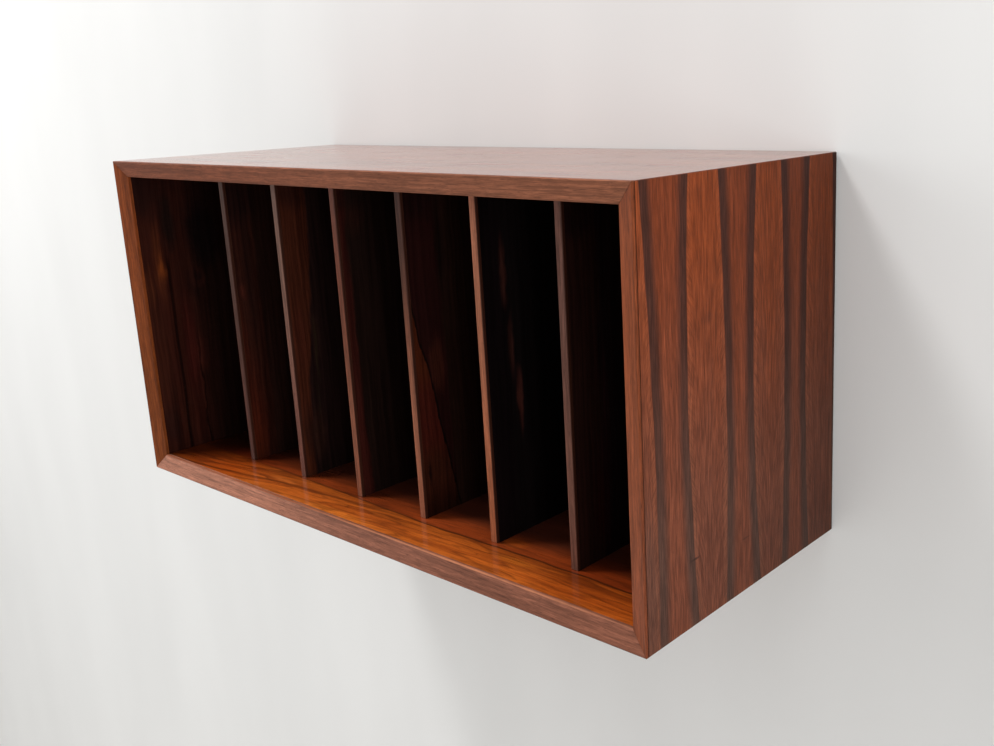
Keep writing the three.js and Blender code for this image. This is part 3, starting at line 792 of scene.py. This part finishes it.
def paintStrip(name, seed, startTint, endTint):
    material, tree, shader, place = startMaterial(name)
    x, y, z = parts(tree, place)
    if name == "top_front_strip":
        point, share = pointOf(tree, y, z, x), ease(tree, x, *stripLook["level"])
    elif name == "bottom_front_strip":
        point, share = pointOf(tree, y, z, x), ease(tree, x, *stripLook["bottomLevel"])
    else:
        point, share = pointOf(tree, x, y, z), ease(tree, z, *stripLook["upright"])
    cells = useGroup(tree, grain, Point=point, Seed=seed)
    colour = mixed(tree, share, startTint, endTint)
    colour = toned(tree, colour, cells["Streak"], *stripLook["streakTone"])
    colour = toned(tree, colour, cells["Dash"], *stripLook["dashTone"])
    colour = toned(tree, colour, cells["Fibre"], *stripLook["fibreTone"])
    colour = pored(tree, colour, cells, stripLook)
    if name.startswith("divider"):
        # the sides, and the last millimetre of the front at the right, are as dark as the leaf behind:
        # partly the leaf's own dark wood, partly painted shade as they face away from the light
        fromMiddle = minus(tree, x, cabinet["dividerPitch"] * (int(name[-1]) - 3.5))
        turnedShade = calc(tree, "MAXIMUM", ease(tree, y, -97.2, -96.7), ease(tree, fromMiddle, 3.2, 4.2))
        colour = mixed(tree, turnedShade, colour, stripLook["returnedShade"])
    if name.startswith("bottom"):
        # the inner front edge is rubbed pale and carries a painted highlight, on its front only and less at
        # the right end
        rubAndHighlight = useGroup(tree, edgeRubHighlight, Distance=minus(tree, z, stripLook["edgeHeight"]),
                       Width=stripLook["rubHighlightWidth"], Point=place)
        onFront = ease(tree, y, -149.8, -148.8, 1, 0)
        rubbedHighlight = mixed(tree, ease(tree, x, -200, 120), stripLook["rubbedHighlightLeft"], stripLook["rubbedHighlight"])
        onFront = times(tree, onFront, ease(tree, x, 230, 380, 1, 0.35))
        colour = mixed(tree, times(tree, rubAndHighlight["Mask"], onFront), colour, rubbedHighlight)
    finishWood(tree, shader, colour, place, cells, stripLook)
    return material


# Starts a piece as an upright plane half way up the cabinet, and stays in edit mode.
middleHeight = (cadBox[0][2] + cadBox[1][2]) / 2


def startUpright(name, width, height, depth):
    bpy.ops.object.select_all(action="DESELECT")
    bpy.ops.mesh.primitive_plane_add(size=1, location=(0, 0, 0))
    made = bpy.context.object
    made.name = name
    bpy.ops.object.mode_set(mode="EDIT")
    bpy.ops.mesh.select_all(action="SELECT")
    bpy.ops.transform.resize(value=(width, height, 1))
    bpy.ops.transform.rotate(value=math.radians(-90), orient_axis="X", center_override=(0, 0, 0))
    bpy.ops.transform.translate(value=(0, depth, middleHeight))
    return made


# The backs of the four front strips: a mitred frame, thick along the outside and thin along the inside.

stripBack = {
    "outerFront": -0.1565, "outerBack": -0.1545, "innerBack": -0.1475, "width": 0.019,
    "cornerEase": 0.0008, "near": 0.0001,
}


def makeStripBacks():
    size = cadBox[1] - cadBox[0]
    middle = (0, 0, middleHeight)
    inwards = (1 - 2 * stripBack["width"] / size[0], 1, 1 - 2 * stripBack["width"] / size[2])
    outwards = (1 / inwards[0], 1, 1 / inwards[2])
    backs = startUpright("front_strip_backs", size[0], size[2], stripBack["outerBack"])
    bpy.ops.mesh.delete(type="ONLY_FACE")
    bpy.ops.mesh.select_all(action="SELECT")
    # forward along the outside, back to the inner edge, and out again behind
    bpy.ops.mesh.extrude_edges_move(
        TRANSFORM_OT_translate={"value": (0, stripBack["outerFront"] - stripBack["outerBack"], 0)})
    bpy.ops.mesh.extrude_edges_move(
        TRANSFORM_OT_translate={"value": (0, stripBack["innerBack"] - stripBack["outerFront"], 0)})
    bpy.ops.transform.resize(value=inwards, center_override=middle)
    bpy.ops.mesh.extrude_edges_move(
        TRANSFORM_OT_translate={"value": (0, stripBack["outerBack"] - stripBack["innerBack"], 0)})
    bpy.ops.transform.resize(value=outwards, center_override=middle)
    bpy.ops.mesh.select_all(action="SELECT")
    bpy.ops.mesh.remove_doubles(threshold=0.00001)
    bpy.ops.mesh.normals_make_consistent(inside=False)
    bpy.ops.mesh.select_all(action="DESELECT")
    bpy.ops.object.mode_set(mode="OBJECT")
    # ease the four outer corners as the strips are eased
    for edge in backs.data.edges:
        first, second = (backs.data.vertices[index].co for index in edge.vertices)
        outermost = min(abs(first.x), abs(second.x)) > size[0] / 2 - stripBack["near"]
        edge.select = outermost and abs(first.z - second.z) < stripBack["near"]
    bpy.ops.object.mode_set(mode="EDIT")
    bpy.ops.mesh.select_mode(type="EDGE")
    bpy.ops.mesh.bevel(offset=stripBack["cornerEase"], segments=1, affect="EDGES")
    bpy.ops.object.mode_set(mode="OBJECT")
    for name in ("top", "bottom", "left", "right"):
        backs.data.materials.append(finishes[name + "_front_strip"])
    # each face takes the finish of the strip that it lies behind
    for face in backs.data.polygons:
        fromSide = size[0] / 2 - abs(face.center.x)
        fromLevel = size[2] / 2 - abs(face.center.z - middleHeight)
        upright = 3 if face.center.x > 0 else 2
        level = 0 if face.center.z > middleHeight else 1
        face.material_index = upright if fromSide < fromLevel else level
    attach(backs, "root")


# Glue lines between the strips and the boards: a mitred frame, and one plate for each divider.

glueLook = {
    "colour": (0.095, 0.038, 0.021, 1), "dark": (0.05, 0.02, 0.012, 1), "thickness": 0.00024,
    "frameWidth": 0.7994, "frameHeight": 0.3894, "frameDepth": -0.15424, "lip": 0.0185, "lean": 0.006816,
    "plateWidth": 0.0088, "plateHeight": 0.351, "plateDepth": -0.09435, "plateStep": 0.1075,
}


def paintGlue():
    material, tree, shader, place = startMaterial("glue_line")
    patches = noise(tree, scaled(tree, place, (0.06, 0.06, 0.06)), 3)
    colour = mixed(tree, ease(tree, patches, 0.3, 0.7), glueLook["dark"], glueLook["colour"])
    feed(tree, shader.inputs["Base Color"], colour)
    feed(tree, shader.inputs["Roughness"], ease(tree, patches, 0.2, 0.8, 0.5, 0.65))
    shader.inputs["Specular IOR Level"].default_value = 0.1
    return material


def makeGlueFrame(material):
    glue = startUpright("front_glue_line", glueLook["frameWidth"], glueLook["frameHeight"],
                        glueLook["frameDepth"])
    bpy.ops.mesh.select_mode(type="FACE")
    bpy.ops.mesh.inset(thickness=glueLook["lip"], depth=0)
    bpy.ops.transform.translate(value=(0, glueLook["lean"], 0))
    bpy.ops.mesh.delete(type="FACE")
    bpy.ops.object.mode_set(mode="OBJECT")
    solid = glue.modifiers.new("solid", "SOLIDIFY")
    solid.thickness = glueLook["thickness"]
    solid.offset = 0
    bpy.ops.object.modifier_apply(modifier=solid.name)
    glue.data.materials.append(material)
    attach(glue, "root")


def makeGluePlates(material):
    bpy.ops.object.select_all(action="DESELECT")
    bpy.ops.mesh.primitive_cube_add(size=1, location=(0, 0, 0))
    plates = bpy.context.object
    plates.name = "divider_glue_lines"
    bpy.ops.object.mode_set(mode="EDIT")
    bpy.ops.mesh.select_all(action="SELECT")
    bpy.ops.transform.resize(value=(glueLook["plateWidth"], glueLook["thickness"], glueLook["plateHeight"]))
    bpy.ops.transform.translate(value=(-2.5 * glueLook["plateStep"], glueLook["plateDepth"], middleHeight))
    bpy.ops.object.mode_set(mode="OBJECT")
    row = plates.modifiers.new("row", "ARRAY")
    row.count = 6
    row.use_relative_offset = False
    row.use_constant_offset = True
    row.constant_offset_displace = (glueLook["plateStep"], 0, 0)
    bpy.ops.object.modifier_apply(modifier=row.name)
    plates.data.materials.append(material)
    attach(plates, "root")


# Hidden wood and metal.

railLook = {
    "light": (0.52, 0.33, 0.17, 1), "deep": (0.36, 0.2, 0.09, 1), "fibreTone": (0.25, 0.75, 0.85, 1.1),
    "roughness": 0.62, "relief": 2, "specular": 0.3, "coat": 0, "coatRoughness": 0.3,
}


def paintRail():
    material, tree, shader, place = startMaterial("rail_wood")
    x, y, z = parts(tree, place)
    cells = useGroup(tree, grain, Point=pointOf(tree, z, y, x), Seed=90)
    colour = mixed(tree, cells["Streak"], railLook["deep"], railLook["light"])
    colour = toned(tree, colour, cells["Fibre"], *railLook["fibreTone"])
    finishWood(tree, shader, colour, place, cells, railLook)
    return material


metalLook = {"zinc_steel": ((0.62, 0.63, 0.62, 1), 0.34), "screw_steel": ((0.6, 0.54, 0.4, 1), 0.38)}


def paintMetal(name):
    base, roughness = metalLook[name]
    material, tree, shader, place = startMaterial(name)
    spangle = noise(tree, scaled(tree, place, (0.25, 0.25, 0.25)), 3)
    feed(tree, shader.inputs["Base Color"], toned(tree, base, spangle, 0.3, 0.7, 0.8, 1.08))
    feed(tree, shader.inputs["Roughness"], plus(tree, roughness, times(tree, spangle, 0.15)))
    shader.inputs["Metallic"].default_value = 1
    return material


# Each node gets its finish.

boardFinishes = {"left_side": "side_veneer", "right_side": "side_veneer", "top_board": "top_veneer",
                 "bottom_board": "bottom_veneer", "back_panel": "back_veneer"}


def finishFor(node):
    if node in boardFinishes:
        return boardFinishes[node]
    if node in stripTints:
        return node
    if node.startswith("divider_"):
        return node.replace("divider_", "divider_veneer_")
    if node.startswith("hanger_plate"):
        return "zinc_steel"
    if "_screw_" in node:
        return "screw_steel"
    return "rail_wood"


finishes = {"side_veneer": paintSide(), "bottom_veneer": paintFloor(), "rail_wood": paintRail()}
for veneerName, veneerLook in veneers.items():
    finishes[veneerName] = paintVeneer(veneerName, veneerLook)
for dividerNumber, dividerLeaf in dividerLeaves.items():
    finishes["divider_veneer_%d" % dividerNumber] = paintDivider(dividerNumber, dividerLeaf)
for stripName, stripTint in stripTints.items():
    finishes[stripName] = paintStrip(stripName, *stripTint)
for metalName in metalLook:
    finishes[metalName] = paintMetal(metalName)

for nodeName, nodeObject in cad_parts.items():
    nodeObject.data.materials.clear()
    nodeObject.data.materials.append(finishes[finishFor(nodeName)])
print("finishes given to", len(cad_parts), "nodes")

makeStripBacks()
print("strip backs made")

glueMaterial = paintGlue()
makeGlueFrame(glueMaterial)
makeGluePlates(glueMaterial)
print("glue lines made")


# Wall, floor, lamps and camera.

studio = {
    "wallGap": 0.0015, "wallSize": 6, "windowInset": 0.006, "floorDrop": 1.6,
    "wallColour": (0.8, 0.8, 0.79, 1), "floorColour": (0.74, 0.72, 0.69, 1),
    "paintTone": (0.2, 0.8, 0.97, 1.02), "paintRoughness": 0.75, "worldStrength": 0.5, "aim": (0, -0.1, 0.2),
}


def plainMaterial(name, base, seeThroughBehind=False):
    material, tree, shader, place = startMaterial(name)
    cloud = noise(tree, scaled(tree, place, (0.004, 0.004, 0.004)), 2)
    feed(tree, shader.inputs["Base Color"], toned(tree, base, cloud, *studio["paintTone"]))
    shader.inputs["Roughness"].default_value = studio["paintRoughness"]
    if seeThroughBehind:
        ending = tree.nodes["Material Output"]
        clear = addNode(tree, "ShaderNodeBsdfTransparent")
        choice = addNode(tree, "ShaderNodeMixShader")
        side = addNode(tree, "ShaderNodeNewGeometry").outputs["Backfacing"]
        tree.links.new(side, choice.inputs[0])
        tree.links.new(shader.outputs[0], choice.inputs[1])
        tree.links.new(clear.outputs[0], choice.inputs[2])
        tree.links.new(choice.outputs[0], ending.inputs[0])
    return material


def makeWall():
    # four boards of wall around an opening behind the cabinet, so that its back still gets light
    low, high = cadBox
    back = high.y + studio["wallGap"]
    reach = studio["wallSize"] / 2
    inset = studio["windowInset"]
    left, right = low.x + inset, high.x - inset
    bottom, top = low.z + inset, high.z - inset
    floorLevel = -studio["floorDrop"]
    pieces = []
    for x0, x1, z0, z1 in ((-reach, left, floorLevel, reach), (right, reach, floorLevel, reach),
                           (left, right, floorLevel, bottom), (left, right, top, reach)):
        bpy.ops.object.select_all(action="DESELECT")
        bpy.ops.mesh.primitive_plane_add(size=1, location=((x0 + x1) / 2, back, (z0 + z1) / 2),
                                         rotation=(math.radians(90), 0, 0))
        bpy.context.object.scale = (x1 - x0, z1 - z0, 1)
        pieces.append(bpy.context.object)
    for panel in pieces:
        panel.select_set(True)
    bpy.ops.object.join()
    wall = bpy.context.object
    wall.name = "wall"
    wall.data.materials.append(plainMaterial("wall_paint", studio["wallColour"], True))


def makeFloor():
    bpy.ops.object.select_all(action="DESELECT")
    bpy.ops.mesh.primitive_plane_add(size=studio["wallSize"] * 2, location=(0, 0, -studio["floorDrop"]))
    ground = bpy.context.object
    ground.name = "floor"
    ground.data.materials.append(plainMaterial("floor_paint", studio["floorColour"]))


lamps = {
    "skylight_left": {"place": (-1.972, -1.185, 4.438), "size": 1.1, "power": 165},
    "skylight_right": {"place": (0.711, -0.51, 2.455), "size": 1.5, "power": 8},
    "window": {"place": (-2.175, -1.356, 0.873), "size": 1.5, "power": 19},
    "wall_side": {"place": (2.1, -0.75, 0.4), "size": 1.4, "power": 17},
}


def aimAt(thing, target):
    direction = thing.location - type(thing.location)(target)
    thing.rotation_euler = direction.to_track_quat("Z", "Y").to_euler()


def addLamps():
    for name, lamp in lamps.items():
        bpy.ops.object.light_add(type="AREA", location=lamp["place"])
        made = bpy.context.object
        made.name = name
        made.data.size = lamp["size"]
        made.data.energy = lamp["power"]
        aimAt(made, studio["aim"])
    world = bpy.data.worlds.new("studio")
    bpy.context.scene.world = world
    world.use_nodes = True
    sky = world.node_tree.nodes["Background"]
    sky.inputs["Color"].default_value = (1, 1, 1, 1)
    sky.inputs["Strength"].default_value = studio["worldStrength"]


cameraLook = {"place": (0.8852, -0.7617, 0.4575), "turn": (76.632, 1.87, 38.848), "lens": 38.01,
              "shift": (-0.1311, -0.0376)}


def addCamera():
    bpy.ops.object.camera_add(location=cameraLook["place"])
    camera = bpy.context.object
    camera.rotation_euler = [math.radians(angle) for angle in cameraLook["turn"]]
    camera.data.sensor_width = 36
    camera.data.lens = cameraLook["lens"]
    camera.data.shift_x, camera.data.shift_y = cameraLook["shift"]
    camera.data.clip_start = 0.01
    bpy.context.scene.camera = camera


makeWall()
makeFloor()
addLamps()
addCamera()
bpy.context.scene.view_settings.view_transform = "Standard"
print("studio ready")
